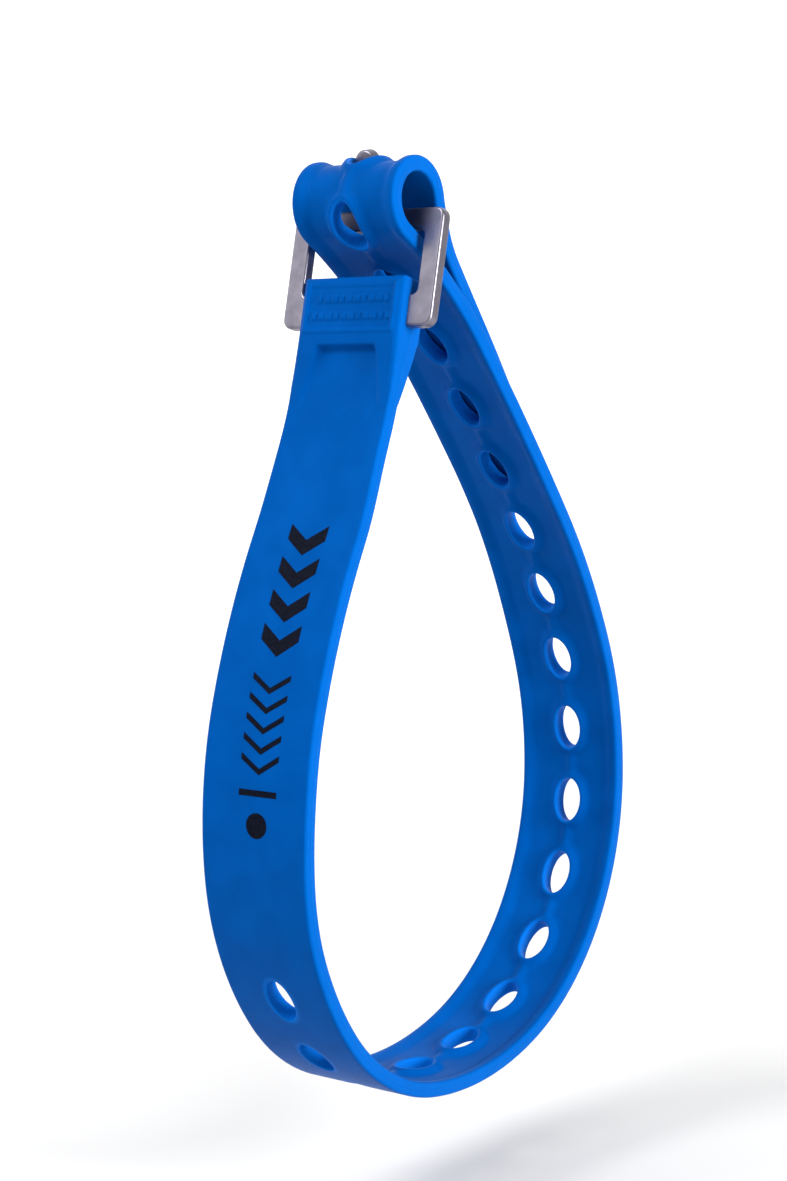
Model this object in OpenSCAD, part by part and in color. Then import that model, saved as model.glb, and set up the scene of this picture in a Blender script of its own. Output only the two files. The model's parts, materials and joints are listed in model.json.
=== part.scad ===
// Moulded elastomer utility strap, closed into a loop by a stamped aluminium prong buckle.
//
// X runs across the strap, Y from the front run to the back run, and Z up.
// The strap is drawn as a profile in the Y-Z plane that follows ROUTE, a chain of tangent arcs,
// and is extruded along X. Distances along the strap ("stations") are counted from the top of the head.
// The profile's left-hand side is the inside of the loop.

/* [Strap] */
// Width of the strap
strap_w = 24; // [20:0.5:26]
// Thickness of the strap
strap_t = 3; // [2.4:0.1:3.4]
// Half width of the tail at its rounded tip
tip_r = 6.5; // [5:0.5:10]
// Length over which the tail narrows to its tip
taper_l = 60; // [40:1:60]

/* [Holes] */
// Length of each oval hole, along the strap
hole_l = 9.5; // [8:0.1:10]
// Width of each oval hole, across the strap
hole_w = 5.9; // [5.6:0.1:7]
// Spacing of the holes
hole_pitch = 16.4; // [16:0.1:17]
// Station of the first hole
hole_first = 139.2; // [138:0.2:140]
// Number of holes
hole_count = 22; // [20:1:22]

/* [Head] */
// Height of the head block
head_h = 11.5; // [11.2:0.1:13]
// Thickness of the head block
head_t = 7; // [6.4:0.1:9]
// How far the head block stands proud of the front of the strap
head_proud = 0.3; // [0.1:0.1:1]
// Depth of the buckle plate behind the face of the head block
plate_depth = 2; // [1.5:0.1:2.5]
// Distance from the top of the head down to the buckle's lower edge
plate_low = 9.4; // [9:0.1:10]
// Length of the gussets that blend the head block into the strap
gusset_l = 13; // [8:1:16]
// Width of each gusset beside the recess
gusset_w = 4; // [2:0.5:6]
// Depth of the recess between the gussets
recess_d = 0.9; // [0.4:0.1:1.2]
// Distance from the block down to the top of the recess
recess_gap = 0.8; // [0.4:0.1:2]

/* [Buckle] */
// Thickness of the buckle plate
plate_t = 2.5; // [2:0.1:3]
// Width of the buckle
buckle_w = 35; // [33:0.5:38]
// Height of the buckle frame
buckle_h = 22.5; // [22:0.1:24]
// Width of the top bar and of the side bars of the buckle
bar_w = 4; // [3.5:0.1:4.4]
// Width of the lower bar, which the head is moulded round
low_bar_w = 6.1; // [5:0.1:6.4]
// Outer corner radius of the buckle
buckle_r = 2; // [1.5:0.5:4]
// Width of the prong
prong_w = 4.5; // [3:0.5:5]
// Height of the prong above the top bar
prong_h = 11.6; // [11:0.2:12]
// Angle by which the prong is bent forward of the plate
prong_bend = 22; // [18:1:24]

/* [Hidden] */

blue = "royalblue";
metal = "silver";
round_fn = 64;           // facets of true circles in the preview
oval_fn = 24;            // sides of each oval hole
cut_past = 1;            // how far a cutting shape reaches past what it cuts

// Lean of the head and of the buckle plate away from vertical
head_lean = 12;
// Profile position of the top of the head, before the model is moved to its origin
head_y = -10.6;
head_z = 59.5;
// [length, turn in degrees] of each arc; a positive turn bends towards the inside of the loop
ROUTE = [
    [18, 0],             // head block, in line with the buckle plate
    [16, -13],           // front run leaving the head
    [18, -2],
    [32, 12],
    [32, 23],
    [32, 30],
    [32, 43],            // bottom of the loop
    [32, 28],
    [32, 36],
    [32, 34],
    [32, 26],            // back run
    [32, 13],
    [44, 4],
    [32, 18],            // through the buckle's window
    [27, -230],          // curl round the top bar
    [14, 33],            // tail coming back to the back run
    [60, -3]             // tail lying along the back run
];
strap_l = 514;           // station of the tip of the tail
profile_step = 2.5;      // spacing of the profile's points along gentle arcs
curl_step = 0.8;         // the same round the curl

strap_hw = strap_w / 2;
strap_ht = strap_t / 2;

// Where one stiff length of strap meets the next
head_end = 33;
front_mid = 84;
front_end = 129;
knuckle_r = 1.45;        // a little less than half the thickness, so that the round end sits within it
socket_r = 1.6;
fold_relief = 1.9;       // depth of the notch that lets the curl fold open

function hole_station(i) = hole_first + i * hole_pitch;
// Station half way between hole number i and the next
function between_holes(i) = hole_station(i + 0.5);

bend_mid = between_holes(2);
bend_end = between_holes(5);
back_mid = between_holes(8);
back_high = between_holes(12);
window_low = between_holes(15);
curl_mid = between_holes(17);
curl_end = between_holes(18);
root_end = between_holes(19);
tail_mid = between_holes(20);
tail_low = between_holes(21);

// [y, z, heading] after going a length along an arc from a pose
function advance(pose, length, turn) =
    turn == 0
        ? [pose[0] + length * cos(pose[2]), pose[1] + length * sin(pose[2]), pose[2]]
        : let (r = length * 180 / PI / turn, h = pose[2] + turn)
            [pose[0] + r * (sin(h) - sin(pose[2])), pose[1] - r * (cos(h) - cos(pose[2])), h];

// [y, z, heading] of the strap's centreline at a station
function pose_at(station, i = 0, pose = [head_y, head_z, -90 - head_lean]) =
    station <= ROUTE[i][0] || i == len(ROUTE) - 1
        ? advance(pose, station, ROUTE[i][1] * station / ROUTE[i][0])
        : pose_at(station - ROUTE[i][0], i + 1, advance(pose, ROUTE[i][0], ROUTE[i][1]));

// [y, z] at a station, moved sideways towards the inside of the loop
function beside(station, side) =
    let (p = pose_at(station)) [p[0] - side * sin(p[2]), p[1] + side * cos(p[2])];

// Stations from one end of a stretch to the other, about one step apart
function stations(from, to, step) =
    let (n = ceil((to - from) / step)) [for (i = [0:n]) from + (to - from) * i / n];

// The loop's outer skin sets the place of the origin: the middle of its depth, and its lowest point
outer_skin = [for (s = stations(head_end, window_low, profile_step)) beside(s, -strap_ht)];
y_mid = (min([for (p = outer_skin) p[0]]) + max([for (p = outer_skin) p[0]])) / 2;
z_low = min([for (p = outer_skin) p[1]]);

// Puts a profile drawn in [y, z], with X along its normal, in the part's frame
module in_profile() {
    rotate([90, 0, 90]) translate([-y_mid, -z_low, 0]) children();
}

// Puts children at a station, with their x along the strap and their y towards the inside of the loop
module at_station(station) {
    p = pose_at(station);
    translate([p[0], p[1], 0]) rotate([0, 0, p[2]]) children();
}

// A length of plain strap between two stations
module band(from, to, step) {
    run = stations(from, to, step);
    back = [for (i = [len(run) - 1:-1:0]) run[i]];
    inner = [for (s = run) beside(s, strap_ht)];
    outer = [for (s = back) beside(s, -strap_ht)];
    translate([0, 0, -strap_hw]) linear_extrude(strap_w) polygon(concat(inner, outer));
}

// Convex round end of a length of strap, on the hinge axis
module knuckle(station) {
    at_station(station) cylinder(r = knuckle_r, h = strap_w, center = true, $fn = round_fn);
}

// Hollow for the neighbour's knuckle
module socket(station) {
    at_station(station) cylinder(r = socket_r, h = strap_w + 2 * cut_past, center = true, $fn = round_fn);
}

// Outline of one oval hole, x along the strap
module oval() {
    turn = 360 / oval_fn;
    polygon([for (i = [0:oval_fn - 1]) [hole_l / 2 * cos(turn * i), hole_w / 2 * sin(turn * i)]]);
}

// The holes that lie between two stations
module holes(from, to) {
    for (i = [0:hole_count - 1]) {
        s = hole_station(i);
        if (s > from && s < to)
            at_station(s) rotate([90, 0, 0])
                translate([0, 0, -strap_ht - cut_past]) linear_extrude(strap_t + 2 * cut_past) oval();
    }
}

// One stiff length of strap: a socket where it starts and a knuckle where it ends
module strap_length(from, to, step = profile_step) {
    color(blue) in_profile() difference() {
        union() {
            band(from, to, step);
            knuckle(to);
        }
        socket(from);
        holes(from, to);
    }
}

// Plan of the tail, x along the strap: straight tapering sides and a rounded tip
module tail_plan() {
    start = strap_l - tip_r - taper_l;
    end = strap_l - tip_r;
    polygon([[start - strap_w, -strap_hw], [start, -strap_hw], [end, -tip_r],
             [end, tip_r], [start, strap_hw], [start - strap_w, strap_hw]]);
    translate([end, 0]) circle(r = tip_r, $fn = round_fn);
}

// A length of the tail, trimmed to the tail's plan
module tail_length(from, to) {
    color(blue) in_profile() intersection() {
        difference() {
            union() {
                band(from, to, profile_step);
                if (to < strap_l) knuckle(to);
            }
            socket(from);
            holes(from, to);
        }
        at_station(root_end) translate([-root_end, 0, 0]) rotate([90, 0, 0])
            translate([0, 0, -strap_w]) linear_extrude(2 * strap_w) tail_plan();
    }
}

// 1 along the head block, falling to 0 at the end of the gussets
function head_share(s) = min(1, max(0, 1 - (s - head_h) / gusset_l));
function head_front(s) = -strap_ht - head_proud * head_share(s);
function head_back(s) = strap_ht + (head_t - head_proud - strap_t) * head_share(s);

// Profile of the head: the block, the gussets and the first of the front run
module head_profile() {
    run = concat([0], stations(head_h, head_end, profile_step));
    back = [for (i = [len(run) - 1:-1:0]) run[i]];
    polygon(concat([for (s = run) beside(s, head_back(s))], [for (s = back) beside(s, head_front(s))]));
}

// Profile of the recess below the block, deepest at its top
module recess_profile() {
    top = head_h + recess_gap;
    end = head_h + gusset_l;
    run = stations(top, end, profile_step);
    back = [for (i = [len(run) - 1:-1:0]) run[i]];
    polygon(concat([for (s = run) beside(s, head_front(s) + recess_d * (end - s) / (end - top))],
                   [for (s = back) beside(s, head_front(s) - cut_past)]));
}

module strap_head() {
    recess_w = strap_w - 2 * gusset_w;
    color(blue) difference() {
        in_profile() difference() {
            union() {
                translate([0, 0, -strap_hw]) linear_extrude(strap_w) head_profile();
                knuckle(head_end);
            }
            translate([0, 0, -recess_w / 2]) linear_extrude(recess_w) recess_profile();
        }
        in_buckle() buckle_frame();
    }
}

// Outline of the buckle's frame, from its lower edge upwards
module buckle_outline() {
    difference() {
        union() {
            translate([-buckle_w / 2 + buckle_r, 0]) square([buckle_w - 2 * buckle_r, buckle_h]);
            translate([-buckle_w / 2, buckle_r]) square([buckle_w, buckle_h - 2 * buckle_r]);
            for (x = [-1, 1], y = [buckle_r, buckle_h - buckle_r])
                translate([x * (buckle_w / 2 - buckle_r), y]) circle(r = buckle_r, $fn = round_fn);
        }
        translate([-buckle_w / 2 + bar_w, low_bar_w])
            square([buckle_w - 2 * bar_w, buckle_h - bar_w - low_bar_w]);
    }
}

// Outline of the prong: straight sides and a round tip
module prong_outline() {
    translate([-prong_w / 2, -bar_w / 2]) square([prong_w, prong_h - prong_w / 2 + bar_w / 2]);
    translate([0, prong_h - prong_w / 2]) circle(d = prong_w, $fn = round_fn);
}

// Places the buckle in the head: x across, y up along the plate, z towards the inside of the loop
module in_buckle() {
    in_profile() at_station(0) translate([plate_low, head_front(0) + plate_depth, 0])
        rotate([0, 90, 90]) children();
}

module buckle_frame() {
    linear_extrude(plate_t) buckle_outline();
}

// The prong stands on the middle of the top bar
module prong() {
    translate([0, buckle_h, plate_t / 2]) rotate([-prong_bend, 0, 0])
        translate([0, 0, -plate_t / 2]) linear_extrude(plate_t) prong_outline();
}

module buckle() {
    color(metal) in_buckle() union() {
        buckle_frame();
        prong();
    }
}

module front_run_upper() { strap_length(head_end, front_mid); }

module front_run_lower() { strap_length(front_mid, front_end); }

module bottom_bend_front() { strap_length(front_end, bend_mid); }

module bottom_bend_back() { strap_length(bend_mid, bend_end); }

module back_run_lower() { strap_length(bend_end, back_mid); }

module back_run_middle() { strap_length(back_mid, back_high); }

module back_run_upper() { strap_length(back_high, window_low); }

// The curl's lower front part, from the window to the hinge above the bar's front
module curl_front() { strap_length(window_low, curl_mid, curl_step); }

// The part of the curl with the hole that the prong stands in
module curl_top() {
    difference() {
        strap_length(curl_mid, curl_end, curl_step);
        color(blue) in_profile() at_station(curl_mid)
            translate([0, 0, -strap_w]) cube([fold_relief, strap_t, 2 * strap_w]);
    }
}

module tail_root() { tail_length(curl_end, root_end); }

module tail_upper() { tail_length(root_end, tail_mid); }

module tail_lower() { tail_length(tail_mid, tail_low); }

module tail_tip() { tail_length(tail_low, strap_l); }

strap_head();
buckle();
front_run_upper();
front_run_lower();
bottom_bend_front();
bottom_bend_back();
back_run_lower();
back_run_middle();
back_run_upper();
curl_front();
curl_top();
tail_root();
tail_upper();
tail_lower();
tail_tip();
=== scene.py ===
"""The looks of a moulded elastomer utility strap, closed into a loop by a stamped aluminium prong buckle.

The strap is one mesh, worked out in its own coordinates: the station along it from the top of the head,
the distance across it, and the height towards the inside of the loop, all in millimetres. A route of
tangent arcs then lays it in the frame. It is cut into pieces that each bend across one hinge.
"""

import json
import math

import bmesh
import bpy
import numpy as np
from mathutils import Vector
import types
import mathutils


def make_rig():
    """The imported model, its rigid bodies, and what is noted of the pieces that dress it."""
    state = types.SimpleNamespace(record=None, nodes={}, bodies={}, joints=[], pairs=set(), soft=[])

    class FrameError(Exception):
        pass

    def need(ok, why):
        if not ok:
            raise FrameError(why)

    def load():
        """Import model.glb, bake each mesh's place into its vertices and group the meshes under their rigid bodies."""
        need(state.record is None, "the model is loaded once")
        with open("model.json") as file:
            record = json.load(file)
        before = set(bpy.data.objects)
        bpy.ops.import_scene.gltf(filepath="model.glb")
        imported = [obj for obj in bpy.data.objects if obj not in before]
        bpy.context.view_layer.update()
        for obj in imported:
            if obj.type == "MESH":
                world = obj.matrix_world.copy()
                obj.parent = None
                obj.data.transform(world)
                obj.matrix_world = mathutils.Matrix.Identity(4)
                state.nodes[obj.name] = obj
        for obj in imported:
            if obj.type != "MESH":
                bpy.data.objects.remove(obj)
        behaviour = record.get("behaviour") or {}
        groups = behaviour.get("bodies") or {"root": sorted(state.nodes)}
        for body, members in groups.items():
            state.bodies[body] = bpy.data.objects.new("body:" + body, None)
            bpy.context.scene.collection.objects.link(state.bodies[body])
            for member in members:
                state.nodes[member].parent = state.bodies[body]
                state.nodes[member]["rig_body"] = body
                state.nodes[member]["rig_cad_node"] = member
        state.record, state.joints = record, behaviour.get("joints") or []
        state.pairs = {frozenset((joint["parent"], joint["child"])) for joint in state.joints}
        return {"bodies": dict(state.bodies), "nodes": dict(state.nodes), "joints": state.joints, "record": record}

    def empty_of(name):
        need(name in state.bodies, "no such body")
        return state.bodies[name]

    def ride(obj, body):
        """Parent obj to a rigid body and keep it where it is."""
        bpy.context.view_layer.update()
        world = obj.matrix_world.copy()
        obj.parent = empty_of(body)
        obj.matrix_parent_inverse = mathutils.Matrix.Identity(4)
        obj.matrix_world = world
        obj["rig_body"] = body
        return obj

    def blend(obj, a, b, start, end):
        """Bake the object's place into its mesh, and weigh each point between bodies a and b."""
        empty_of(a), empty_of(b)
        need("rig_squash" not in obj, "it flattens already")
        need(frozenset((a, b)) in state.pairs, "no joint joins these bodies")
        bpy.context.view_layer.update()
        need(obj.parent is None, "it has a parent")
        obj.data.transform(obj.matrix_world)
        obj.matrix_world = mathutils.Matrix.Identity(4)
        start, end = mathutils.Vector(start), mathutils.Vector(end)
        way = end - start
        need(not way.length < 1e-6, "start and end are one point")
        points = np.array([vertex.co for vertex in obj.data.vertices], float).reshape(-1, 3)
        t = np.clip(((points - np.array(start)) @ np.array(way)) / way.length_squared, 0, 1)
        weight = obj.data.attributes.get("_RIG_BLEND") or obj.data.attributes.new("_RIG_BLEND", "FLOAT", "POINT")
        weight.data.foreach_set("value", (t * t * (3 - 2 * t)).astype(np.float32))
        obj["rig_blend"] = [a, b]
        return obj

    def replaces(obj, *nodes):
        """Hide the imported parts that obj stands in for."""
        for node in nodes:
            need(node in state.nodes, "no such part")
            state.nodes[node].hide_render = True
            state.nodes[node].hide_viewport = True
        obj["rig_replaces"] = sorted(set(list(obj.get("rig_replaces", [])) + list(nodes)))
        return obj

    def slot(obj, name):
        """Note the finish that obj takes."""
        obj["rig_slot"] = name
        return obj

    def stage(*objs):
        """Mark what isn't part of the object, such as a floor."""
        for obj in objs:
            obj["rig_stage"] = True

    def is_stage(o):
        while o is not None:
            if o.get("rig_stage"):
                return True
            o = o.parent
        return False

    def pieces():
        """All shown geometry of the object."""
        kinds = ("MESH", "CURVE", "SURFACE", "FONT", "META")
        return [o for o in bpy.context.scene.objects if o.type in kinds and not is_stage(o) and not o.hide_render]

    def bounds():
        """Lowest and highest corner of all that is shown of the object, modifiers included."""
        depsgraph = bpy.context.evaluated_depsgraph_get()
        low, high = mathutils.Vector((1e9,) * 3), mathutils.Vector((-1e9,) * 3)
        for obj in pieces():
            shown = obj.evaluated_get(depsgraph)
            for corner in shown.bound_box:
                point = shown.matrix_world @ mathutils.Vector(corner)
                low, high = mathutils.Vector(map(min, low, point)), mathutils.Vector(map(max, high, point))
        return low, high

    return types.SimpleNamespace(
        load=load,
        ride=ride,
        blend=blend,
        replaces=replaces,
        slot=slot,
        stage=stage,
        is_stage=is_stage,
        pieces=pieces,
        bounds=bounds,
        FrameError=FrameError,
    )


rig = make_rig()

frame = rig.load()
cad_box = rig.bounds()

MM = 0.001
FULL_TURN = 2 * math.pi

# The strap, in millimetres
STRAP_HALF_WIDTH = 12.0
HALF_THICK = 1.5
EDGE_ROUND = 0.6
TIP_RADIUS = 6.5
TAPER_LENGTH = 60.0
STRAP_LENGTH = 514.0
TIP_CENTRE = STRAP_LENGTH - TIP_RADIUS
SEAM_RIDGE = 0.06
# Painted light on the side walls: how far their colour is lightened towards the paler blue
SIDE_PAINTED_LIGHT = 0.3

# The oval holes and the relief round them
HOLE_HALF_LENGTH = 4.75
HOLE_HALF_WIDTH = 2.95
HOLE_PITCH = 16.4
HOLE_FIRST = 139.2
HOLE_COUNT = 22
CELL_HALF = HOLE_PITCH / 2
CELL_HALF_WIDTH = 6.2
CELL_STEPS = 20
ROW_START = HOLE_FIRST - CELL_HALF
ROW_END = HOLE_FIRST + (HOLE_COUNT - 0.5) * HOLE_PITCH
POCKET_DEPTH = 0.85
RAIL_WIDTH = 1.7
RAIL_SLOPE = 1.5
# A rim is whole to its first distance from the hole's edge and falls to the pocket's floor at the second
RIM_FALL = (0.9, 2.4)
# A tie joins each rim to the next: how much of the pocket it fills, and where its sides start and end
TIE_FILL = 0.8
TIE_SIDES = (0.2, 1.7)
# A rounded lip stands on each rim, at this distance from the hole's edge
LIP_HEIGHT = 0.4
LIP_PLACE = 0.55
LIP_SPREAD = 0.5
# Rings of the mesh round a hole, as distances from its edge, and the radius of the edge itself
RIM_ROUND = 0.22
INNER_RINGS = [0.45, 0.7, 0.95, 1.25, 1.6, 1.95, 2.25]
OUTER_RINGS = [1.2, 2.25]

# Low ribs across the last of the tail, for the fingers
RIB_PITCH = 2.2
RIB_HEIGHT = 0.3
RIBS_END = 510.0

# The head, in millimetres
HEAD_HEIGHT = 11.5
HEAD_THICK = 7.0
HEAD_PROUD = 0.3
HEAD_BEVEL = 1.4
GUSSET_LENGTH = 13.0
HEAD_END = 27.0
PLATE_DEPTH = 2.0

# The buckle, in millimetres
PLATE_THICK = 2.5
PLATE_LOW = 9.4
BUCKLE_WIDTH = 35.0
BUCKLE_HEIGHT = 22.5
BAR_WIDTH = 4.0
LOW_BAR_WIDTH = 6.1
BUCKLE_CORNER = 2.0
WINDOW_CORNER = 1.2
PRONG_WIDTH = 4.5
PRONG_HEIGHT = 11.6
PRONG_BEND = math.radians(22)
BEND_START = BUCKLE_HEIGHT - 0.4
BEND_LENGTH = 1.6
ROOT_FILLET = 0.8
PLATE_BEVEL = 0.5

# The strap's route: the place and heading of the top of the head, then [length, turn in degrees] of each
# arc. A positive turn bends towards the inside of the loop.
HEAD_PLACE = (-10.6, 59.5)
HEAD_HEADING = -102.0
ROUTE = [
    [18, 0],
    [16, -13],
    [18, -2],
    [32, 12],
    [32, 23],
    [32, 30],
    [32, 43],
    [32, 28],
    [32, 36],
    [32, 34],
    [32, 26],
    [32, 13],
    [44, 4],
    [32, 18],
    [27, -230],
    [14, 33],
    [60, -3],
]


def hole_station(number):
    """The station of a hole's centre. The first hole is number 0."""
    return HOLE_FIRST + number * HOLE_PITCH


def between_holes(number):
    """The station half way between a hole and the next."""
    return hole_station(number + 0.5)


# The hinges between the CAD bodies, as stations along the strap
HINGES = [
    ("head", 33.0),
    ("front_run_upper", 84.0),
    ("front_run_lower", 129.0),
    ("bottom_bend_front", between_holes(2)),
    ("bottom_bend_back", between_holes(5)),
    ("back_run_lower", between_holes(8)),
    ("back_run_middle", between_holes(12)),
    ("back_run_upper", between_holes(15)),
    ("curl_front", between_holes(17)),
    ("curl_top", between_holes(18)),
    ("tail_root", between_holes(19)),
    ("tail_upper", between_holes(20)),
    ("tail_lower", between_holes(21)),
    ("tail_tip", None),
]
# A piece bends over this share of the way from its hinge to its nearer end, and over less in the curl
BEND_SHARE = 0.9
CURL_SPAN = (385.0, 450.0)
CURL_REACH = 4.5


# ---------------------------------------------------------------- the route


def arc_starts():
    """The station, place and heading at which each arc of the route starts, and its turn per millimetre."""
    station, (y, z), heading = 0.0, HEAD_PLACE, math.radians(HEAD_HEADING)
    starts = []
    for length, turn in ROUTE:
        rate = math.radians(turn) / length
        starts.append((station, y, z, heading, rate))
        half_turn = rate * length / 2
        chord = length * np.sinc(half_turn / math.pi)
        y += chord * math.cos(heading + half_turn)
        z += chord * math.sin(heading + half_turn)
        heading += 2 * half_turn
        station += length
    return np.array(starts)


ARCS = arc_starts()


def along(stations):
    """The centreline's y and z, in millimetres, and its heading, in radians, at each station."""
    stations = np.asarray(stations, float)
    number = np.clip(np.searchsorted(ARCS[:, 0], stations, side="right") - 1, 0, len(ARCS) - 1)
    start, y, z, heading, rate = ARCS[number].T
    half_turn = rate * (stations - start) / 2
    chord = (stations - start) * np.sinc(half_turn / math.pi)
    y = y + chord * np.cos(heading + half_turn)
    z = z + chord * np.sin(heading + half_turn)
    return y, z, heading + 2 * half_turn


def raw_place(stations, height):
    """The y and z, before the move to the frame's origin, of points at a height above the centreline."""
    y, z, heading = along(stations)
    return y - height * np.sin(heading), z + height * np.cos(heading)


def route_origin():
    """The frame's origin on the route's plane: the middle of the loop's depth, at its lowest point."""
    y, z = raw_place(np.arange(33.0, between_holes(15), 0.5), -HALF_THICK)
    return (y.min() + y.max()) / 2, z.min()


ORIGIN_Y, ORIGIN_Z = route_origin()


# The strap isn't quite flat: two stretches of it turn a little about their length and stand a little to
# one side. Each has the stations where that starts, is whole, starts to fall and ends, then the turn in
# degrees and the distance aside in millimetres.
TWISTS = [(30, 50, 95, 130, 2.5, 0.75), (300, 352, 376, 400, 6.5, 1.2)]
# The tail lies along the back run and turns with it. Facing stations on the two add up to this.
TAIL_MIRROR = 857.5
TAIL_FROM = 443.0


def twist_at(stations):
    """How far the strap is turned about its length, in radians, and set aside, in millimetres."""
    tail = stations > TAIL_FROM
    facing = np.where(tail, TAIL_MIRROR - stations, stations)
    turn = np.zeros(len(stations))
    aside = np.zeros(len(stations))
    for rise, whole, fall, end, degrees, distance in TWISTS:
        share = ramp(facing, rise, whole) * (1 - ramp(facing, fall, end))
        turn += math.radians(degrees) * share
        aside += distance * share
    return np.where(tail, -turn, turn), aside


def lay(points):
    """Strap coordinates (station, across, height) in millimetres to places in the frame, in metres."""
    turn, aside = twist_at(points[:, 0])
    across = points[:, 1] * np.cos(turn) - points[:, 2] * np.sin(turn) + aside
    height = points[:, 2] * np.cos(turn) + points[:, 1] * np.sin(turn)
    y, z = raw_place(points[:, 0], height)
    return np.stack([across, y - ORIGIN_Y, z - ORIGIN_Z], axis=1) * MM


def centre_at(station):
    """The place of the strap's centreline at a station, in the frame."""
    return Vector(lay(np.array([[station, 0.0, 0.0]]))[0])


# ---------------------------------------------------------------- mesh tools


def ramp(value, start, end):
    """0 before start, 1 after end, and smooth between."""
    share = np.clip((value - start) / (end - start), 0, 1)
    return share * share * (3 - 2 * share)


def straight_ramp(value, start, end):
    """0 before start, 1 after end, and even between."""
    return np.clip((value - start) / (end - start), 0, 1)


class Patches:
    """Points and four-sided faces, gathered patch by patch. Points at the same place become one."""

    def __init__(self):
        self.points = []
        self.faces = []
        self.count = 0

    def add(self, grid, closed=False):
        """grid is rows x columns x 3. closed joins the last column to the first."""
        rows, columns = grid.shape[:2]
        number = self.count + np.arange(rows * columns).reshape(rows, columns)
        if closed:
            number = np.concatenate([number, number[:, :1]], axis=1)
        corners = [number[:-1, :-1], number[:-1, 1:], number[1:, 1:], number[1:, :-1]]
        self.faces.append(np.stack([c.ravel() for c in corners], axis=1))
        self.points.append(grid.reshape(-1, 3))
        self.count += rows * columns

    def welded(self):
        """(points, faces), with points closer than a ten-thousandth of a millimetre merged."""
        points = np.concatenate(self.points)
        faces = np.concatenate(self.faces)
        keys = np.round(points * 1e4).astype(np.int64)
        _, first, place = np.unique(keys, axis=0, return_index=True, return_inverse=True)
        faces = place.reshape(-1)[faces]
        return points[first], faces


def make_mesh(name, places, faces):
    """A mesh of the faces, with corners that have merged left out and all faces looking outwards."""
    tidy = []
    for face in faces.tolist():
        corners = [c for i, c in enumerate(face) if c != face[i - 1]]
        if len(set(corners)) == len(corners) > 2:
            tidy.append(corners)
    mesh = bpy.data.meshes.new(name)
    mesh.from_pydata(places.tolist(), [], tidy)
    build = bmesh.new()
    build.from_mesh(mesh)
    bmesh.ops.recalc_face_normals(build, faces=build.faces)
    build.to_mesh(mesh)
    build.free()
    mesh.update()
    return mesh


def cap_loops(faces):
    """Rings of vertex numbers round each opening of an open mesh, each turning the way a lid has to."""
    sides = {}
    for face in faces:
        for a, b in zip(face, face[1:] + face[:1]):
            sides[(a, b)] = True
    follow = {b: a for a, b in sides if (b, a) not in sides}
    rings = []
    while follow:
        start, current = follow.popitem()
        ring = [start]
        while current != start:
            ring.append(current)
            current = follow.pop(current)
        rings.append(ring)
    return rings


def cut_piece(name, mesh, normals, chosen, strap_points, materials):
    """A closed object from some faces of a mesh. It keeps the whole mesh's normals, so no seam shows."""
    faces = [list(mesh.polygons[i].vertices) for i in chosen]
    lids = cap_loops(faces)
    used = sorted({v for face in faces for v in face})
    renumber = {v: i for i, v in enumerate(used)}
    places = [mesh.vertices[v].co[:] for v in used]
    rings = [[renumber[v] for v in face] for face in faces + lids]
    piece = bpy.data.meshes.new(name)
    piece.from_pydata(places, [], rings)
    piece.update()
    piece.polygons.foreach_set("use_smooth", [True] * len(rings))
    corner_normals = []
    for polygon in piece.polygons:
        is_lid = polygon.index >= len(faces)
        for v in polygon.vertices:
            corner_normals.append(polygon.normal[:] if is_lid else normals[used[v]])
    piece.normals_split_custom_set(corner_normals)
    uv = piece.uv_layers.new(name="strap")
    flat = np.array(strap_points)[used][:, :2] * MM
    loops = np.zeros(len(piece.loops), np.int32)
    piece.loops.foreach_get("vertex_index", loops)
    uv.data.foreach_set("uv", flat[loops].astype(np.float32).ravel())
    # The pale attribute is painted light: how much the colour is lightened on the side walls and in the holes' walls
    pale = piece.attributes.new("pale", "FLOAT", "POINT")
    pale.data.foreach_set("value", painted_light_share(np.array(strap_points)[used]).astype(np.float32))
    for material in materials:
        piece.materials.append(material)
    made = bpy.data.objects.new(name, piece)
    bpy.context.scene.collection.objects.link(made)
    return made


# ---------------------------------------------------------------- the strap's shape


def half_width(stations):
    """Half the strap's width: even, then tapering to the round tip of the tail."""
    stations = np.asarray(stations, float)
    taper = np.clip((stations - (TIP_CENTRE - TAPER_LENGTH)) / TAPER_LENGTH, 0, 1)
    width = STRAP_HALF_WIDTH + (TIP_RADIUS - STRAP_HALF_WIDTH) * taper
    past = np.clip(stations - TIP_CENTRE, 0, TIP_RADIUS)
    return np.where(past > 0, np.sqrt(TIP_RADIUS**2 - past**2), width)


def edge_distance(stations, across):
    """How far a point of the plan lies inside the strap's outline."""
    side = half_width(stations) - np.abs(across)
    tip = TIP_RADIUS - np.hypot(stations - TIP_CENTRE, across)
    return np.maximum(np.where(stations > TIP_CENTRE, tip, side), 0)


def painted_light_share(points):
    """How much painted light a point's surface takes, as a lightening of its colour: 1 in the holes' walls, where it
    lifts their shade, less on the side walls, where it adds to the light from the side, and 0 on the faces.
    """
    stations, across = points[:, 0], points[:, 1]
    side = 1 - ramp(edge_distance(stations, across), 0.0, EDGE_ROUND)
    wall = 1 - ramp(oval_distance(stations, across), 0.0, EDGE_ROUND)
    return np.maximum(SIDE_PAINTED_LIGHT * side, wall)


def edge_drop(distance, radius=EDGE_ROUND):
    """How far a face falls away near a rounded edge."""
    inside = np.clip(radius - distance, 0, radius)
    return radius - np.sqrt(radius**2 - inside**2)


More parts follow.
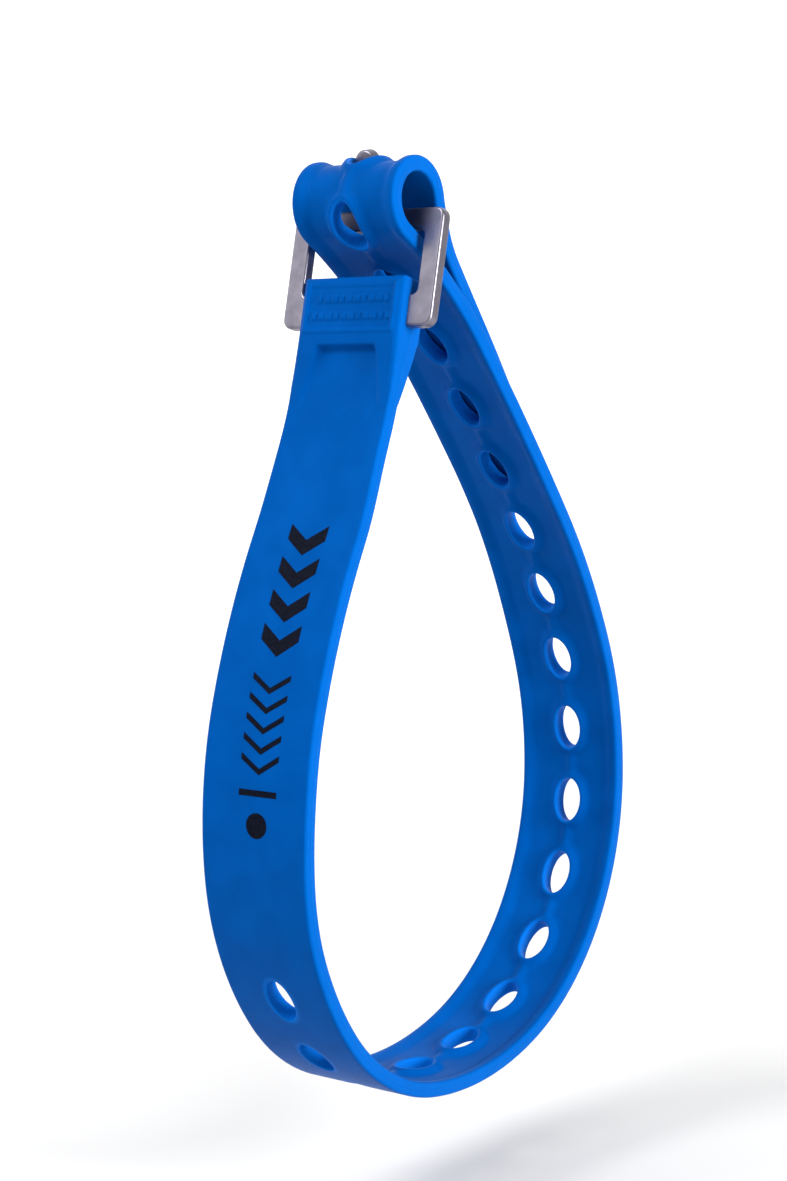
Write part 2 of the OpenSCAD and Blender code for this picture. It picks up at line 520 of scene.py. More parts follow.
def oval_distance(stations, across):
    """How far a point lies outside the edge of the nearest oval hole: the ovals grow evenly by this much."""
    number = np.clip(np.round((stations - HOLE_FIRST) / HOLE_PITCH), 0, HOLE_COUNT - 1)
    past = np.abs(stations - hole_station(number))
    side = np.abs(across)
    grow = np.maximum(np.hypot(past, side) - HOLE_HALF_LENGTH, 0.1 - HOLE_HALF_WIDTH)
    for _ in range(8):
        length = HOLE_HALF_LENGTH + grow
        width = HOLE_HALF_WIDTH + grow
        error = (past / length) ** 2 + (side / width) ** 2 - 1
        slope = -2 * (past**2 / length**3 + side**2 / width**3)
        grow = np.maximum(grow - error / np.minimum(slope, -1e-6), 0.1 - HOLE_HALF_WIDTH)
    return grow


def inner_height(stations, across):
    """Height of the face towards the inside of the loop: raised rails, hole rims and ties, and pockets."""
    stations, across = np.broadcast_arrays(stations, across)
    distance = oval_distance(stations, across)
    width = half_width(stations)
    rail = ramp(np.abs(across), width - RAIL_WIDTH - RAIL_SLOPE, width - RAIL_WIDTH)
    rim = 1 - ramp(distance, *RIM_FALL)
    tie = TIE_FILL * (1 - ramp(np.abs(across), *TIE_SIDES))
    ends = ramp(stations, ROW_START + 1, ROW_START + 4)
    ends = ends * (1 - ramp(stations, ROW_END + 1.5, ROW_END + 4.5))
    pocket = (1 - rail) * (1 - rim) * (1 - tie) * ends
    lip = LIP_HEIGHT * np.exp(-(((distance - LIP_PLACE) / LIP_SPREAD) ** 2))
    grip = tail_grip(stations, across)
    return HALF_THICK - POCKET_DEPTH * pocket + lip + grip


def tail_grip(stations, across):
    """Height of the ribs for the fingers, which stay clear of the tail's edge."""
    ribs_start = ROW_END + 5
    wave = 0.5 - 0.5 * np.cos(FULL_TURN * (stations - ribs_start) / RIB_PITCH)
    along_tail = ramp(stations, ribs_start, ribs_start + 0.5)
    along_tail = along_tail * (1 - ramp(stations, RIBS_END - 0.5, RIBS_END))
    inset = ramp(edge_distance(stations, across), 1.4, 2.2)
    return RIB_HEIGHT * wave**2 * along_tail * inset


def columns(width):
    """Places across a strap of the given half width: even in the middle, and close at the edges."""
    last_flat = half_width(ROW_END) - EDGE_ROUND
    radius = min(EDGE_ROUND, width)
    middle = CELL_HALF_WIDTH * min(1.0, (width - radius) / last_flat)
    flat = np.linspace(middle, width - radius, 7)[1:]
    bend = [width - radius * (1 - math.sin(a)) for a in np.linspace(0, math.pi / 2, 6)[1:]]
    outer = np.concatenate([flat, bend])
    return np.concatenate([-outer[::-1], np.linspace(-middle, middle, CELL_STEPS + 1), outer])


def face_heights(stations, across):
    """Heights of the inner and the outer face."""
    drop = edge_drop(edge_distance(stations, across))
    inner = inner_height(stations, across) - drop
    outer = -HALF_THICK + drop
    return inner, outer


def side_walls(patches, stations, ends, inner, outer):
    """The wall between the two faces, along one edge, with a faint moulding seam along its middle."""
    steps = [0, 0.2, 0.4, 0.46, 0.5, 0.54, 0.6, 0.8, 1]
    bulge = [0, 0, 0, 0.6, 1, 0.6, 0, 0, 0]
    past = np.maximum(stations - TIP_CENTRE, 0)
    reach = np.maximum(np.hypot(past, ends), 1e-6)
    wall = []
    for share, out in zip(steps, bulge):
        grow = SEAM_RIDGE * out / reach
        height = inner + (outer - inner) * share
        wall.append(np.stack([stations + past * grow, ends * (1 + grow), height], axis=1))
    patches.add(np.stack(wall))


def plain_rows(patches, stations):
    """Both faces and both side walls between the given stations."""
    across = np.stack([columns(w) for w in half_width(stations)])
    station_grid = np.repeat(stations[:, None], across.shape[1], axis=1)
    inner, outer = face_heights(station_grid, across)
    patches.add(np.stack([station_grid, across, inner], axis=2))
    patches.add(np.stack([station_grid, across, outer], axis=2))
    for column in (0, -1):
        side_walls(patches, stations, across[:, column], inner[:, column], outer[:, column])


def cell_outline():
    """The rectangle round a hole, corner to corner, as (station, across) points about the hole's centre."""
    along_step = np.linspace(-CELL_HALF, CELL_HALF, CELL_STEPS + 1)[:-1]
    across_step = np.linspace(-CELL_HALF_WIDTH, CELL_HALF_WIDTH, CELL_STEPS + 1)[:-1]
    end = np.full(CELL_STEPS, CELL_HALF)
    side = np.full(CELL_STEPS, CELL_HALF_WIDTH)
    stations = np.concatenate([-end, along_step, end, -along_step])
    across = np.concatenate([across_step, side, -across_step, -side])
    return stations, across


def hole_cell(patches, centre):
    """The rectangle of strap round one hole, with the hole's rounded rims and its wall."""
    outline_s, outline_x = cell_outline()
    angle = np.arctan2(outline_x / CELL_HALF_WIDTH, outline_s / CELL_HALF)
    rim_turn = np.linspace(0, math.pi / 2, 5)
    rim_grow = list(RIM_ROUND * (1 - np.cos(rim_turn)))
    rim_drop = list(RIM_ROUND * (1 - np.sin(rim_turn)))
    ends = []
    for is_inner, flat_grow in ((True, INNER_RINGS), (False, OUTER_RINGS)):
        grid = []
        for grow in rim_grow + flat_grow:
            ring_s = (HOLE_HALF_LENGTH + grow) * np.cos(angle)
            ring_x = (HOLE_HALF_WIDTH + grow) * np.sin(angle)
            grid.append((ring_s, ring_x))
        last_s, last_x = grid[-1]
        for share in (1 / 3, 2 / 3, 1):
            grid.append((last_s + (outline_s - last_s) * share, last_x + (outline_x - last_x) * share))
        layers = []
        for number, (ring_s, ring_x) in enumerate(grid):
            drop = rim_drop[number] if number < len(rim_drop) else 0.0
            inner, outer = face_heights(centre + ring_s, ring_x)
            height = inner - drop if is_inner else outer + drop
            layers.append(np.stack([centre + ring_s, ring_x, height], axis=1))
        patches.add(np.stack(layers), closed=True)
        ends.append(layers[0])
    wall = [ends[0] + (ends[1] - ends[0]) * share for share in (0, 0.12, 0.5, 0.88, 1)]
    patches.add(np.stack(wall), closed=True)


def cell_sides(patches, centre):
    """The strips of strap beside a hole's rectangle, out to both edges."""
    stations = centre + np.linspace(-CELL_HALF, CELL_HALF, CELL_STEPS + 1)
    across = np.stack([columns(w) for w in half_width(stations)])
    station_grid = np.repeat(stations[:, None], across.shape[1], axis=1)
    inner, outer = face_heights(station_grid, across)
    strip = (across.shape[1] - CELL_STEPS - 1) // 2 + 1
    for part in (slice(0, strip), slice(-strip, None)):
        for height in (inner, outer):
            patches.add(np.stack([station_grid[:, part], across[:, part], height[:, part]], axis=2))
    for column in (0, -1):
        side_walls(patches, stations, across[:, column], inner[:, column], outer[:, column])


def stepped(breaks, step):
    """Stations through the given breaks, about one step apart."""
    rows = [np.linspace(a, b, max(2, round((b - a) / step) + 1)) for a, b in zip(breaks, breaks[1:])]
    return np.unique(np.concatenate(rows).round(6))


def bend_ends(low, hinge, high):
    """Where a piece that runs from low to high starts and ends its bend about its hinge, in the frame."""
    in_curl = CURL_SPAN[0] < hinge < CURL_SPAN[1]
    reach = CURL_REACH if in_curl else BEND_SHARE * min(hinge - low, high - hinge)
    return {"start": centre_at(hinge - reach), "end": centre_at(hinge + reach)}


def piece_cuts():
    """Stations that part the pieces, each about half way between two hinges, on a line of the mesh."""
    stations = [s for _, s in HINGES if s is not None]
    cuts = [44.0, 115.0]
    for a, b in zip(stations[2:], stations[3:]):
        cuts.append(HOLE_FIRST + round(((a + b) / 2 - HOLE_FIRST) / CELL_HALF) * CELL_HALF)
    return cuts


def strap_patches():
    """Everything from the end of the head to the tip of the tail."""
    patches = Patches()
    plain_rows(patches, stepped([HEAD_END] + piece_cuts()[:2] + [ROW_START], 1.3))
    for number in range(HOLE_COUNT):
        hole_cell(patches, hole_station(number))
        cell_sides(patches, hole_station(number))
    before_tip = stepped([ROW_END, TIP_CENTRE], 0.45)
    turn = np.concatenate([np.linspace(0, 1.2, 16)[1:], np.linspace(1.2, math.pi / 2, 9)[1:]])
    plain_rows(patches, np.concatenate([before_tip, TIP_CENTRE + TIP_RADIUS * np.sin(turn)]))
    return patches


# ---------------------------------------------------------------- the head


def head_share(stations):
    """1 along the head block, falling to 0 at the end of the gussets."""
    return 1 - straight_ramp(stations, HEAD_HEIGHT, HEAD_HEIGHT + GUSSET_LENGTH)


def ridge(distance, width):
    """1 on the crest of a rounded ridge, 0 outside it."""
    return np.clip(1 - (distance / width) ** 2, 0, 1) ** 1.5


# The front panel: half its width, and the stations of its top and lower edges
PANEL_HALF = 10.3
PANEL_TOP = 1.7
PANEL_LOW = 10.5
PANEL_DEPTH = 0.2
PANEL_RIDGE = 0.34
# Each row of raised blocks: its station, the place across of its first block, and how many there are
BLOCK_PITCH = 1.75
BLOCK_HEIGHT = 0.36
BLOCK_ROWS = [(4.4, -7.4, 10), (7.7, -8.3, 11)]
# The recess below the panel: where it starts, half its width there, how much wider it gets, and its depth
RECESS_TOP = HEAD_HEIGHT + 2.0
RECESS_LOW = HEAD_HEIGHT + GUSSET_LENGTH
RECESS_HALF = 6.6
RECESS_FLARE = 2.8
RECESS_DEPTH = 1.7


def panel_relief(stations, across):
    """The sunk front panel, the ridge round it and its two rows of plain raised blocks."""
    inside = 1 - ramp(np.abs(across), PANEL_HALF - 0.7, PANEL_HALF - 0.3)
    inside = inside * ramp(stations, PANEL_TOP + 0.2, PANEL_TOP + 0.6)
    inside = inside * (1 - ramp(stations, PANEL_LOW - 0.8, PANEL_LOW - 0.3))
    side_ridge = ridge(np.abs(across) - PANEL_HALF, 0.55) * ramp(stations, 0.8, PANEL_TOP)
    side_ridge = side_ridge * (1 - ramp(stations, PANEL_LOW - 0.3, PANEL_LOW + 0.5))
    lower_ridge = 0.8 * ridge(stations - PANEL_LOW, 0.6)
    lower_ridge = lower_ridge * (1 - ramp(np.abs(across), PANEL_HALF, PANEL_HALF + 0.5))
    relief = PANEL_RIDGE * np.maximum(side_ridge, lower_ridge) - PANEL_DEPTH * inside
    for row_station, first, count in BLOCK_ROWS:
        for number in range(count):
            middle = first + number * BLOCK_PITCH
            half_length = 0.28 + 0.16 * (number % 3)
            past = np.maximum(np.abs(across - middle) - half_length, 0)
            tall = np.maximum(np.abs(stations - row_station) - 0.45, 0)
            relief = relief + BLOCK_HEIGHT * ridge(np.hypot(past, tall), 0.42)
    return relief


def recess(stations, across):
    """The hollow below the panel, narrow at its top and wider where it runs out."""
    half = RECESS_HALF + RECESS_FLARE * straight_ramp(stations, RECESS_TOP, RECESS_LOW)
    inside = 1 - ramp(np.abs(across), half - 0.6, half + 0.6)
    depth = RECESS_DEPTH * (1 - straight_ramp(stations, RECESS_TOP, RECESS_LOW + 1))
    return depth * inside * ramp(stations, RECESS_TOP - 0.6, RECESS_TOP + 0.6)


def head_half_width(stations):
    """The head's plan has rounded upper corners."""
    corner = 0.9
    inside = np.clip(corner - stations, 0, corner)
    return STRAP_HALF_WIDTH - corner + np.sqrt(corner**2 - inside**2)


def head_distance(stations, across):
    """How far a point of the plan lies inside the head's top and sides."""
    return np.minimum(np.maximum(head_half_width(stations) - np.abs(across), 0), stations)


def head_patches():
    """The moulded block that holds the buckle, its gussets and the first of the front run."""
    patches = Patches()
    close = [EDGE_ROUND * (1 - math.cos(a)) for a in np.linspace(0, math.pi / 2, 6)]
    rows = np.concatenate([close, np.arange(0.8, HEAD_END, 0.22), [HEAD_END]])
    share = np.linspace(-1, 1, 105)
    grid_x = []
    for width in head_half_width(rows):
        bend = [width - EDGE_ROUND * (1 - math.sin(a)) for a in np.linspace(0, math.pi / 2, 6)[1:]]
        grid_x.append(np.concatenate([-np.array(bend[::-1]), share * (width - EDGE_ROUND), bend]))
    across = np.array(grid_x)
    stations = np.repeat(rows[:, None], across.shape[1], axis=1)
    drop = edge_drop(head_distance(stations, across))
    block = head_share(stations)
    bevel = edge_drop(head_distance(stations, across), HEAD_BEVEL) * block
    front = -HALF_THICK - HEAD_PROUD * block - panel_relief(stations, across) + recess(stations, across)
    back = HALF_THICK + (HEAD_THICK - HEAD_PROUD - 2 * HALF_THICK) * block
    front = front + np.maximum(drop, bevel)
    back = back - drop
    patches.add(np.stack([stations, across, front], axis=2))
    patches.add(np.stack([stations, across, back], axis=2))
    edge_s = np.concatenate([stations[::-1, 0], stations[0, 1:-1], stations[:, -1]])
    edge_x = np.concatenate([across[::-1, 0], across[0, 1:-1], across[:, -1]])
    edge_back = np.concatenate([back[::-1, 0], back[0, 1:-1], back[:, -1]])
    edge_front = np.concatenate([front[::-1, 0], front[0, 1:-1], front[:, -1]])
    side_walls(patches, edge_s, edge_x, edge_back, edge_front)
    return patches


# ---------------------------------------------------------------- materials


def new_material(name):
    """A material with its node tree and its shader."""
    material = bpy.data.materials.new(name)
    material.use_nodes = True
    tree = material.node_tree
    return material, tree, tree.nodes["Principled BSDF"]


def noise(tree, scale, detail=3.0):
    """Noise in the object's own coordinates."""
    node = tree.nodes.new("ShaderNodeTexNoise")
    node.inputs["Scale"].default_value = scale
    node.inputs["Detail"].default_value = detail
    place = tree.nodes.new("ShaderNodeTexCoord")
    tree.links.new(place.outputs["Object"], node.inputs["Vector"])
    return node


def blend_ramp(tree, source, stops):
    """Blends between colours, each given as (share, (red, green, blue)), as the source grows."""
    node = tree.nodes.new("ShaderNodeValToRGB")
    elements = node.color_ramp.elements
    while len(elements) < len(stops):
        elements.new(0.5)
    for element, (share, colour) in zip(elements, stops):
        element.position = share
        element.color = (*colour, 1)
    tree.links.new(source, node.inputs["Fac"])
    return node


def bump(tree, source, strength, distance):
    """Fine relief from the source, up to the given distance in metres."""
    node = tree.nodes.new("ShaderNodeBump")
    node.inputs["Strength"].default_value = strength
    node.inputs["Distance"].default_value = distance
    tree.links.new(source, node.inputs["Height"])
    return node


def elastomer():
    """Satin, deep blue and slightly mottled, with painted light that makes it paler on the side walls and more so in
    the holes' walls.
    """
    material, tree, shader = new_material("blue_elastomer")
    shader.inputs["Specular IOR Level"].default_value = 0.02
    shader.inputs["Specular Tint"].default_value = (0.02, 0.4, 1.0, 1)
    shader.inputs["Sheen Weight"].default_value = 0.12
    shader.inputs["Sheen Roughness"].default_value = 0.35
    shader.inputs["Sheen Tint"].default_value = (0.0, 0.3, 1.0, 1)
    mottle = noise(tree, 150.0)
    base = blend_ramp(tree, mottle.outputs["Fac"], [(0.3, (0.0, 0.064, 0.29)), (0.7, (0.0, 0.076, 0.34))])
    # Painted light: the side walls and the holes' walls are lightened towards this paler blue, to lift their shade
    pale = tree.nodes.new("ShaderNodeAttribute")
    pale.attribute_name = "pale"
    mix = tree.nodes.new("ShaderNodeMix")
    mix.data_type = "RGBA"
    mix.inputs["B"].default_value = (0.002, 0.125, 0.52, 1)
    tree.links.new(pale.outputs["Fac"], mix.inputs["Factor"])
    tree.links.new(base.outputs["Color"], mix.inputs["A"])
    tree.links.new(mix.outputs["Result"], shader.inputs["Base Color"])
    grain = noise(tree, 1800.0, 4.0)
    rough = blend_ramp(tree, grain.outputs["Fac"], [(0.3, (0.34,) * 3), (0.7, (0.44,) * 3)])
    tree.links.new(rough.outputs["Color"], shader.inputs["Roughness"])
    surface = bump(tree, grain.outputs["Fac"], 0.2, 0.00004)
    tree.links.new(surface.outputs["Normal"], shader.inputs["Normal"])
    return material


def rolled_metal():
    """The plate's faces: tumbled aluminium, satin and faintly clouded."""
    material, tree, shader = new_material("rolled_aluminium")
    shader.inputs["Metallic"].default_value = 1.0
    clouds = noise(tree, 420.0, 4.0)
    tint = blend_ramp(tree, clouds.outputs["Fac"], [(0.3, (0.18, 0.17, 0.21)), (0.7, (0.25, 0.235, 0.285))])
    tree.links.new(tint.outputs["Color"], shader.inputs["Base Color"])
    grain = noise(tree, 2400.0, 4.0)
    rough = blend_ramp(tree, grain.outputs["Fac"], [(0.3, (0.36,) * 3), (0.75, (0.46,) * 3)])
    tree.links.new(rough.outputs["Color"], shader.inputs["Roughness"])
    surface = bump(tree, grain.outputs["Fac"], 0.25, 0.00004)
    tree.links.new(surface.outputs["Normal"], shader.inputs["Normal"])
    return material


def sheared_metal():
    """The plate's die-cut edges: rougher, paler and speckled."""
    material, tree, shader = new_material("sheared_aluminium")
    shader.inputs["Metallic"].default_value = 1.0
    speckle = noise(tree, 3200.0, 3.0)
    tint = blend_ramp(tree, speckle.outputs["Fac"], [(0.42, (0.3, 0.28, 0.29)), (0.6, (0.85, 0.8, 0.82))])
    tree.links.new(tint.outputs["Color"], shader.inputs["Base Color"])
    shader.inputs["Roughness"].default_value = 0.6
    surface = bump(tree, speckle.outputs["Fac"], 0.35, 0.00012)
    tree.links.new(surface.outputs["Normal"], shader.inputs["Normal"])
    return material


def ink():
    """The matt print on the front run."""
    material, tree, shader = new_material("black_ink")
    speckle = noise(tree, 1500.0, 4.0)
    stops = [(0.3, (0.002, 0.003, 0.008)), (0.7, (0.005, 0.007, 0.016))]
    tint = blend_ramp(tree, speckle.outputs["Fac"], stops)
    tree.links.new(tint.outputs["Color"], shader.inputs["Base Color"])
    shader.inputs["Roughness"].default_value = 0.6
    shader.inputs["Specular IOR Level"].default_value = 0.03
    return material


# ---------------------------------------------------------------- pieces of the strap


def mesh_normals(mesh):
    """The mesh's smooth normal at each of its points."""
    flat = np.zeros(len(mesh.vertices) * 3, np.float32)
    mesh.vertex_normals.foreach_get("vector", flat)
    return flat.reshape(-1, 3).astype(float).tolist()


def build_strap(material):
    """The strap below the head, as one skin cut into a piece for each hinge."""
    points, faces = strap_patches().welded()
    mesh = make_mesh("strap_whole", lay(points), faces)
    normals = mesh_normals(mesh)
    station = points[:, 0]
    middle = np.array([station[list(p.vertices)].mean() for p in mesh.polygons])
    cuts = [HEAD_END] + piece_cuts() + [STRAP_LENGTH + 1]
    for number, (low, high) in enumerate(zip(cuts, cuts[1:])):
        chosen = np.flatnonzero((middle >= low) & (middle < high))
        before, hinge = HINGES[number]
        after = HINGES[number + 1][0]
        piece = cut_piece("strap_" + after, mesh, normals, chosen, points, [material])
        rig.blend(piece, before, after, **bend_ends(low, hinge, high))
        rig.replaces(piece, after)
        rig.slot(piece, "strap")
    bpy.data.meshes.remove(mesh)


def build_head(material):
    """The head, which is rigid with the buckle."""
    points, faces = head_patches().welded()
    mesh = make_mesh("head_whole", lay(points), faces)
    head = cut_piece("moulded_head", mesh, mesh_normals(mesh), range(len(mesh.polygons)), points, [material])
    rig.ride(head, "head")
    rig.replaces(head, "strap_head")
    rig.slot(head, "strap")
    bpy.data.meshes.remove(mesh)


# ---------------------------------------------------------------- the print

# Plain bars and arrowheads down the front run: the station of each shape's tip, its stroke along the
# strap, and how far its arms trail behind the tip. A bar has no trail.
PRINT_HALF = 4.2
PRINT_CENTRE = 0.8
PRINT_ROW = 1.0
PRINT_SHAPES = [(55.0 + 6.4 * i, 3.0, 3.0) for i in range(4)]
PRINT_SHAPES += [(81.0 + 3.6 * i, 1.1, 2.6) for i in range(5)]
PRINT_SHAPES += [(99.2, 1.1, 0.0)]
PRINT_DISC = (104.4, 2.3)
PRINT_THICK = 0.05
PRINT_SPAN = (48.0, 110.0)


def arrowhead(tip, stroke, trail):
    """The two arms of a band across the strap, bent to a point down the strap, as (station, across)."""
    arms = []
    for side in (-PRINT_HALF, PRINT_HALF):
        edge = PRINT_CENTRE + side
        back = tip - stroke
        arms.append([(tip, PRINT_CENTRE), (tip - trail, edge), (back - trail, edge), (back, PRINT_CENTRE)])
    return arms


def disc_outline(station, radius):
    """A round dot, as (station, across)."""
    turns = np.linspace(0, FULL_TURN, 33)[:-1]
    return [(station + radius * math.cos(a), PRINT_CENTRE + radius * math.sin(a)) for a in turns]


def build_print(material):
    """A thin film on the outer face of the front run, cut into rows so that it follows the strap."""
    build = bmesh.new()
    outlines = [arm for shape in PRINT_SHAPES for arm in arrowhead(*shape)] + [disc_outline(*PRINT_DISC)]
    for outline in outlines:
        build.faces.new([build.verts.new((station, across, 0)) for station, across in outline])
    bmesh.ops.remove_doubles(build, verts=build.verts, dist=1e-4)
    for station in np.arange(*PRINT_SPAN, PRINT_ROW):
        everything = build.verts[:] + build.edges[:] + build.faces[:]
        bmesh.ops.bisect_plane(build, geom=everything, plane_co=(station, 0, 0), plane_no=(1, 0, 0))
    film = bmesh.ops.extrude_face_region(build, geom=build.faces[:])
    for vertex in film["geom"]:
        if isinstance(vertex, bmesh.types.BMVert):
            vertex.co.z = 1.0
    points = np.array([vertex.co[:] for vertex in build.verts])
    points[:, 2] = -HALF_THICK + PRINT_THICK - 2 * PRINT_THICK * points[:, 2]
    for vertex, place in zip(build.verts, lay(points)):
        vertex.co = place
    bmesh.ops.recalc_face_normals(build, faces=build.faces)
    mesh = bpy.data.meshes.new("front_print")
    build.to_mesh(mesh)
    build.free()
    mesh.materials.append(material)
    film_object = bpy.data.objects.new("front_print", mesh)
    bpy.context.scene.collection.objects.link(film_object)
    before, hinge = HINGES[1]
    after = HINGES[2][0]
    low, high = piece_cuts()[:2]
    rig.blend(film_object, before, after, **bend_ends(low, hinge, high))
    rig.slot(film_object, "strap")


# ---------------------------------------------------------------- the buckle


def plate_place(u, v, w):
    """Plate coordinates (across, up the plate, towards the loop's inside), in millimetres, to the frame."""
    y, z, heading = (float(value) for value in along(0.0))
    down = PLATE_LOW - v
    inward = -HALF_THICK - HEAD_PROUD + PLATE_DEPTH + w
    y = y + down * math.cos(heading) - inward * math.sin(heading) - ORIGIN_Y
    z = z + down * math.sin(heading) + inward * math.cos(heading) - ORIGIN_Z
    return Vector((u, y, z)) * MM


def arc(cx, cy, radius, start, end, steps=8):
    """Points round an arc, angles in degrees."""
    turns = np.radians(np.linspace(start, end, steps + 1))
    return [(cx + radius * math.cos(a), cy + radius * math.sin(a)) for a in turns]


def plate_outer():
    """Outline of the plate with its prong as a tab on the top bar."""
    r = BUCKLE_CORNER
    x = BUCKLE_WIDTH / 2 - r
    low, high = r, BUCKLE_HEIGHT - r
    fillet = ROOT_FILLET
    p = PRONG_WIDTH / 2
    tip = BUCKLE_HEIGHT + PRONG_HEIGHT - p
    points = arc(x, low, r, -90, 0) + arc(x, high, r, 0, 90)
    points += arc(p + fillet, BUCKLE_HEIGHT + fillet, fillet, -90, -180)
    points += arc(0, tip, p, 0, 180, 20)
    points += arc(-p - fillet, BUCKLE_HEIGHT + fillet, fillet, 0, -90)
    points += arc(-x, high, r, 90, 180) + arc(-x, low, r, 180, 270)
    return points


def plate_window():
    """Outline of the plate's window."""
    r = WINDOW_CORNER
    x = BUCKLE_WIDTH / 2 - BAR_WIDTH - r
    low, high = LOW_BAR_WIDTH + r, BUCKLE_HEIGHT - BAR_WIDTH - r
    points = arc(x, low, r, -90, 0) + arc(x, high, r, 0, 90)
    points += arc(-x, high, r, 90, 180) + arc(-x, low, r, 180, 270)
    return points


def bend_prong(v, w):
    """Turns the tab forward about a short bend just above the top bar."""
    past = v - BEND_START
    if past <= 0:
        return v, w
    radius = BEND_LENGTH / PRONG_BEND
    angle = min(past, BEND_LENGTH) / radius
    straight = max(0.0, past - BEND_LENGTH)
    middle = PLATE_THICK / 2
    centre_v = BEND_START + radius * math.sin(angle) + straight * math.cos(angle)
    centre_w = middle - radius * (1 - math.cos(angle)) - straight * math.sin(angle)
    off = w - middle
    return centre_v + off * math.sin(angle), centre_w + off * math.cos(angle)


def flat_plate():
    """A mesh of the plate before its prong is bent: a filled outline with rounded edges."""
    outline = bpy.data.curves.new("plate_outline", "CURVE")
    outline.dimensions = "2D"
    outline.fill_mode = "BOTH"
    for points in (plate_outer(), plate_window()):
        spline = outline.splines.new("POLY")
        spline.points.add(len(points) - 1)
        for knot, (x, y) in zip(spline.points, points):
            knot.co = (x, y, 0, 1)
        spline.use_cyclic_u = True
    outline.extrude = PLATE_THICK / 2 - PLATE_BEVEL
    outline.bevel_depth = PLATE_BEVEL
    outline.bevel_resolution = 4
    outline.offset = -PLATE_BEVEL
    draft = bpy.data.objects.new("plate_draft", outline)
    bpy.context.scene.collection.objects.link(draft)
    bpy.context.view_layer.update()
    mesh = bpy.data.meshes.new_from_object(draft.evaluated_get(bpy.context.evaluated_depsgraph_get()))
    bpy.data.objects.remove(draft)
    bpy.data.curves.remove(outline)
    return mesh


def build_buckle(face_metal, edge_metal):
    """The stamped plate, cut across at the root of its prong so that it bends there."""
    mesh = flat_plate()
    build = bmesh.new()
    build.from_mesh(mesh)
    bmesh.ops.remove_doubles(build, verts=build.verts, dist=1e-4)
    for height in np.linspace(BUCKLE_HEIGHT - 0.6, BUCKLE_HEIGHT + 2.2, 8):
        everything = build.verts[:] + build.edges[:] + build.faces[:]
        bmesh.ops.bisect_plane(build, geom=everything, plane_co=(0, height, 0), plane_no=(0, 1, 0))
    bmesh.ops.recalc_face_normals(build, faces=build.faces)
    for face in build.faces:
        face.smooth = True
        face.material_index = 1 if abs(face.normal.z) < 0.35 else 0
    for vertex in build.verts:
        u, v, w = vertex.co.x, vertex.co.y, vertex.co.z + PLATE_THICK / 2
        v, w = bend_prong(v, w)
        vertex.co = plate_place(u, v, w)
    bmesh.ops.recalc_face_normals(build, faces=build.faces)
    build.to_mesh(mesh)
    build.free()
    mesh.name = "prong_buckle"
    mesh.materials.clear()
    mesh.materials.append(face_metal)
    mesh.materials.append(edge_metal)
    buckle = bpy.data.objects.new("prong_buckle", mesh)
    bpy.context.scene.collection.objects.link(buckle)
    weighted = buckle.modifiers.new("even_shading", "WEIGHTED_NORMAL")
    weighted.weight = 60
    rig.ride(buckle, "head")
    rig.replaces(buckle, "buckle")
    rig.slot(buckle, "buckle")


# ---------------------------------------------------------------- the studio


def backdrop_paint():
    """A pale matt floor that glows from within, not at all at the front, faintly from a little before the loop and
    more and more towards the backdrop, which glows most.
    """
    material, tree, shader = new_material("pale_floor")
    shader.inputs["Base Color"].default_value = (0.62, 0.62, 0.62, 1)
    shader.inputs["Roughness"].default_value = 0.9
    shader.inputs["Specular IOR Level"].default_value = 0.1
    shader.inputs["Emission Color"].default_value = (1, 1, 1, 1)
    place = tree.nodes.new("ShaderNodeTexCoord")
    parts = tree.nodes.new("ShaderNodeSeparateXYZ")
    tree.links.new(place.outputs["Object"], parts.inputs["Vector"])
    glow = tree.nodes.new("ShaderNodeMapRange")
    glow.interpolation_type = "SMOOTHSTEP"
    glow.inputs["From Min"].default_value = -0.2
    glow.inputs["From Max"].default_value = 1.0
    glow.inputs["To Min"].default_value = 0.0
    glow.inputs["To Max"].default_value = 0.65
    tree.links.new(parts.outputs["Y"], glow.inputs["Value"])
    tree.links.new(glow.outputs["Result"], shader.inputs["Emission Strength"])
    return material


# The floor lies a little below the loop, which reaches lower when it is squeezed
FLOOR_DROP = 0.022


def build_stage():
    """A pale floor that curves up into a backdrop, square to the camera."""
    reach, height, bend, depth = 3.0, 3.0, 0.8, 1.2
    profile = [(-reach, 0.0), (depth - bend, 0.0)]
    for turn in np.linspace(0, math.pi / 2, 16)[1:]:
        profile.append((depth - bend + bend * math.sin(turn), bend * (1 - math.cos(turn))))
    profile.append((depth, height))
    points = [(side * reach, y, z) for y, z in profile for side in (-1, 1)]
    faces = [(2 * i, 2 * i + 1, 2 * i + 3, 2 * i + 2) for i in range(len(profile) - 1)]
    mesh = bpy.data.meshes.new("floor")
    mesh.from_pydata(points, [], faces)
    for polygon in mesh.polygons:
        polygon.use_smooth = True
    mesh.materials.append(backdrop_paint())
    floor = bpy.data.objects.new("floor", mesh)
    floor.rotation_euler = (0, 0, CAMERA_AZIMUTH)
    floor.location = (0, 0, -FLOOR_DROP)
    bpy.context.scene.collection.objects.link(floor)
    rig.stage(floor)


def area_light(name, place, size, power):
    """A white disc lamp that faces the middle of the loop."""
    light = bpy.data.lights.new(name, "AREA")
    light.shape = "DISK"
    light.size = size
    light.energy = power
    lamp = bpy.data.objects.new(name, light)
    lamp.location = place
    lamp.rotation_euler = (LAMP_TARGET - Vector(place)).to_track_quat("-Z", "Y").to_euler()
    bpy.context.scene.collection.objects.link(lamp)


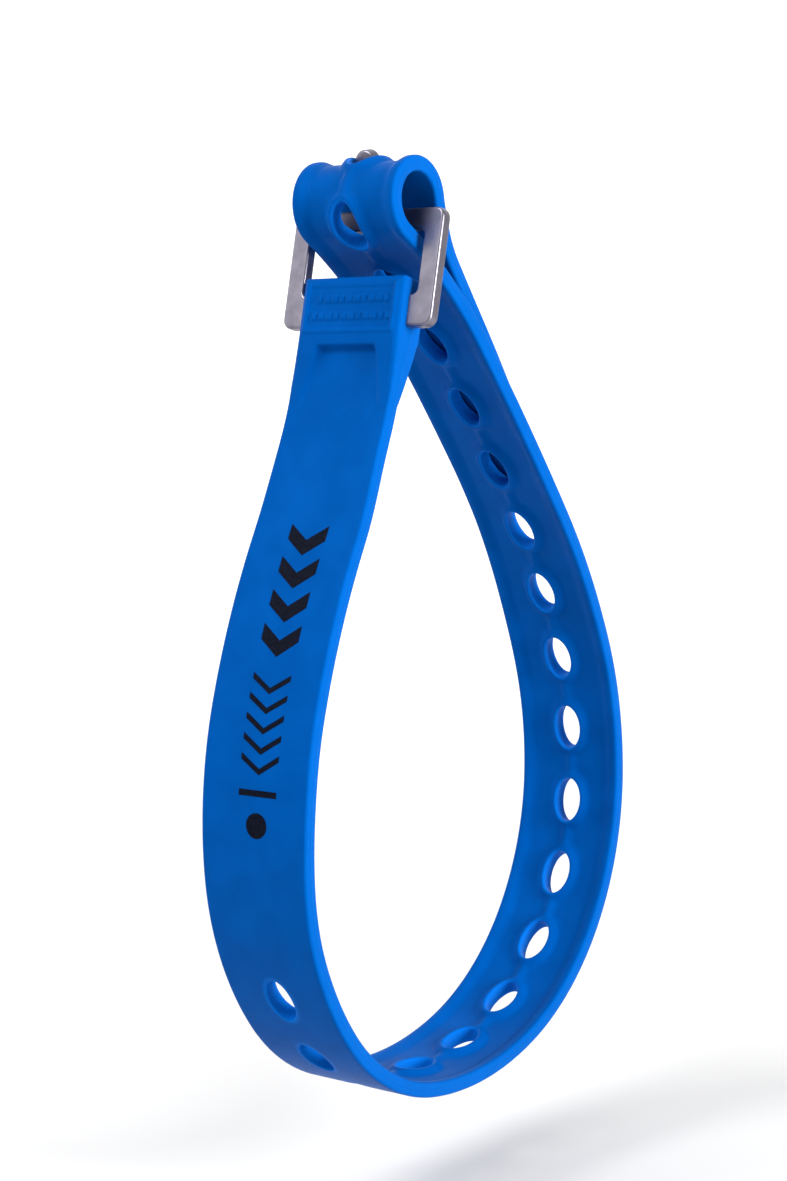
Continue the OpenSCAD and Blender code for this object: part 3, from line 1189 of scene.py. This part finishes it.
# Each lamp's name, place, width and power
LAMPS = [
    ("front_key", (-0.25, -0.75, 0.95), 0.7, 12.3),
    ("right_box", (0.9, -0.05, 0.3), 0.45, 14.0),
    ("overhead", (0.1, 0.0, 1.1), 0.7, 2.5),
    ("left_fill", (-0.9, -0.6, 0.35), 0.6, 2.4),
]
LAMP_TARGET = Vector((0, 0, 0.09))
WORLD_STRENGTH = 0.16


def build_lights():
    """The lamps and a faint even light from all round."""
    for lamp in LAMPS:
        area_light(*lamp)
    world = bpy.data.worlds.new("studio")
    world.use_nodes = True
    world.node_tree.nodes["Background"].inputs["Color"].default_value = (1, 1, 1, 1)
    world.node_tree.nodes["Background"].inputs["Strength"].default_value = WORLD_STRENGTH
    bpy.context.scene.world = world


# The camera's direction from the object, its distance and what it looks at, in metres
CAMERA_AZIMUTH = math.radians(36.9)
CAMERA_ELEVATION = math.radians(4.74)
CAMERA_DISTANCE = 0.4373
CAMERA_TARGET = Vector((0.0, -0.0118, 0.0983))
CAMERA_LENS = 69.0


def build_camera():
    """The camera, at the loop's front right and a little above its middle."""
    data = bpy.data.cameras.new("camera")
    data.sensor_width = 36.0
    data.lens = CAMERA_LENS
    camera = bpy.data.objects.new("camera", data)
    level = math.cos(CAMERA_ELEVATION)
    back = Vector((
        math.sin(CAMERA_AZIMUTH) * level,
        -math.cos(CAMERA_AZIMUTH) * level,
        math.sin(CAMERA_ELEVATION),
    ))
    camera.location = CAMERA_TARGET + back * CAMERA_DISTANCE
    camera.rotation_euler = (-back).to_track_quat("-Z", "Y").to_euler()
    bpy.context.scene.collection.objects.link(camera)
    bpy.context.scene.camera = camera


blue = elastomer()
build_strap(blue)
build_head(blue)
build_print(ink())
build_buckle(rolled_metal(), sheared_metal())
build_stage()
build_lights()
build_camera()
bpy.context.scene.view_settings.view_transform = "Standard"

shown_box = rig.bounds()
with open("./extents.json", "w") as size_file:
    json.dump({"cad": [list(c) for c in cad_box], "visual": [list(c) for c in shown_box]}, size_file)
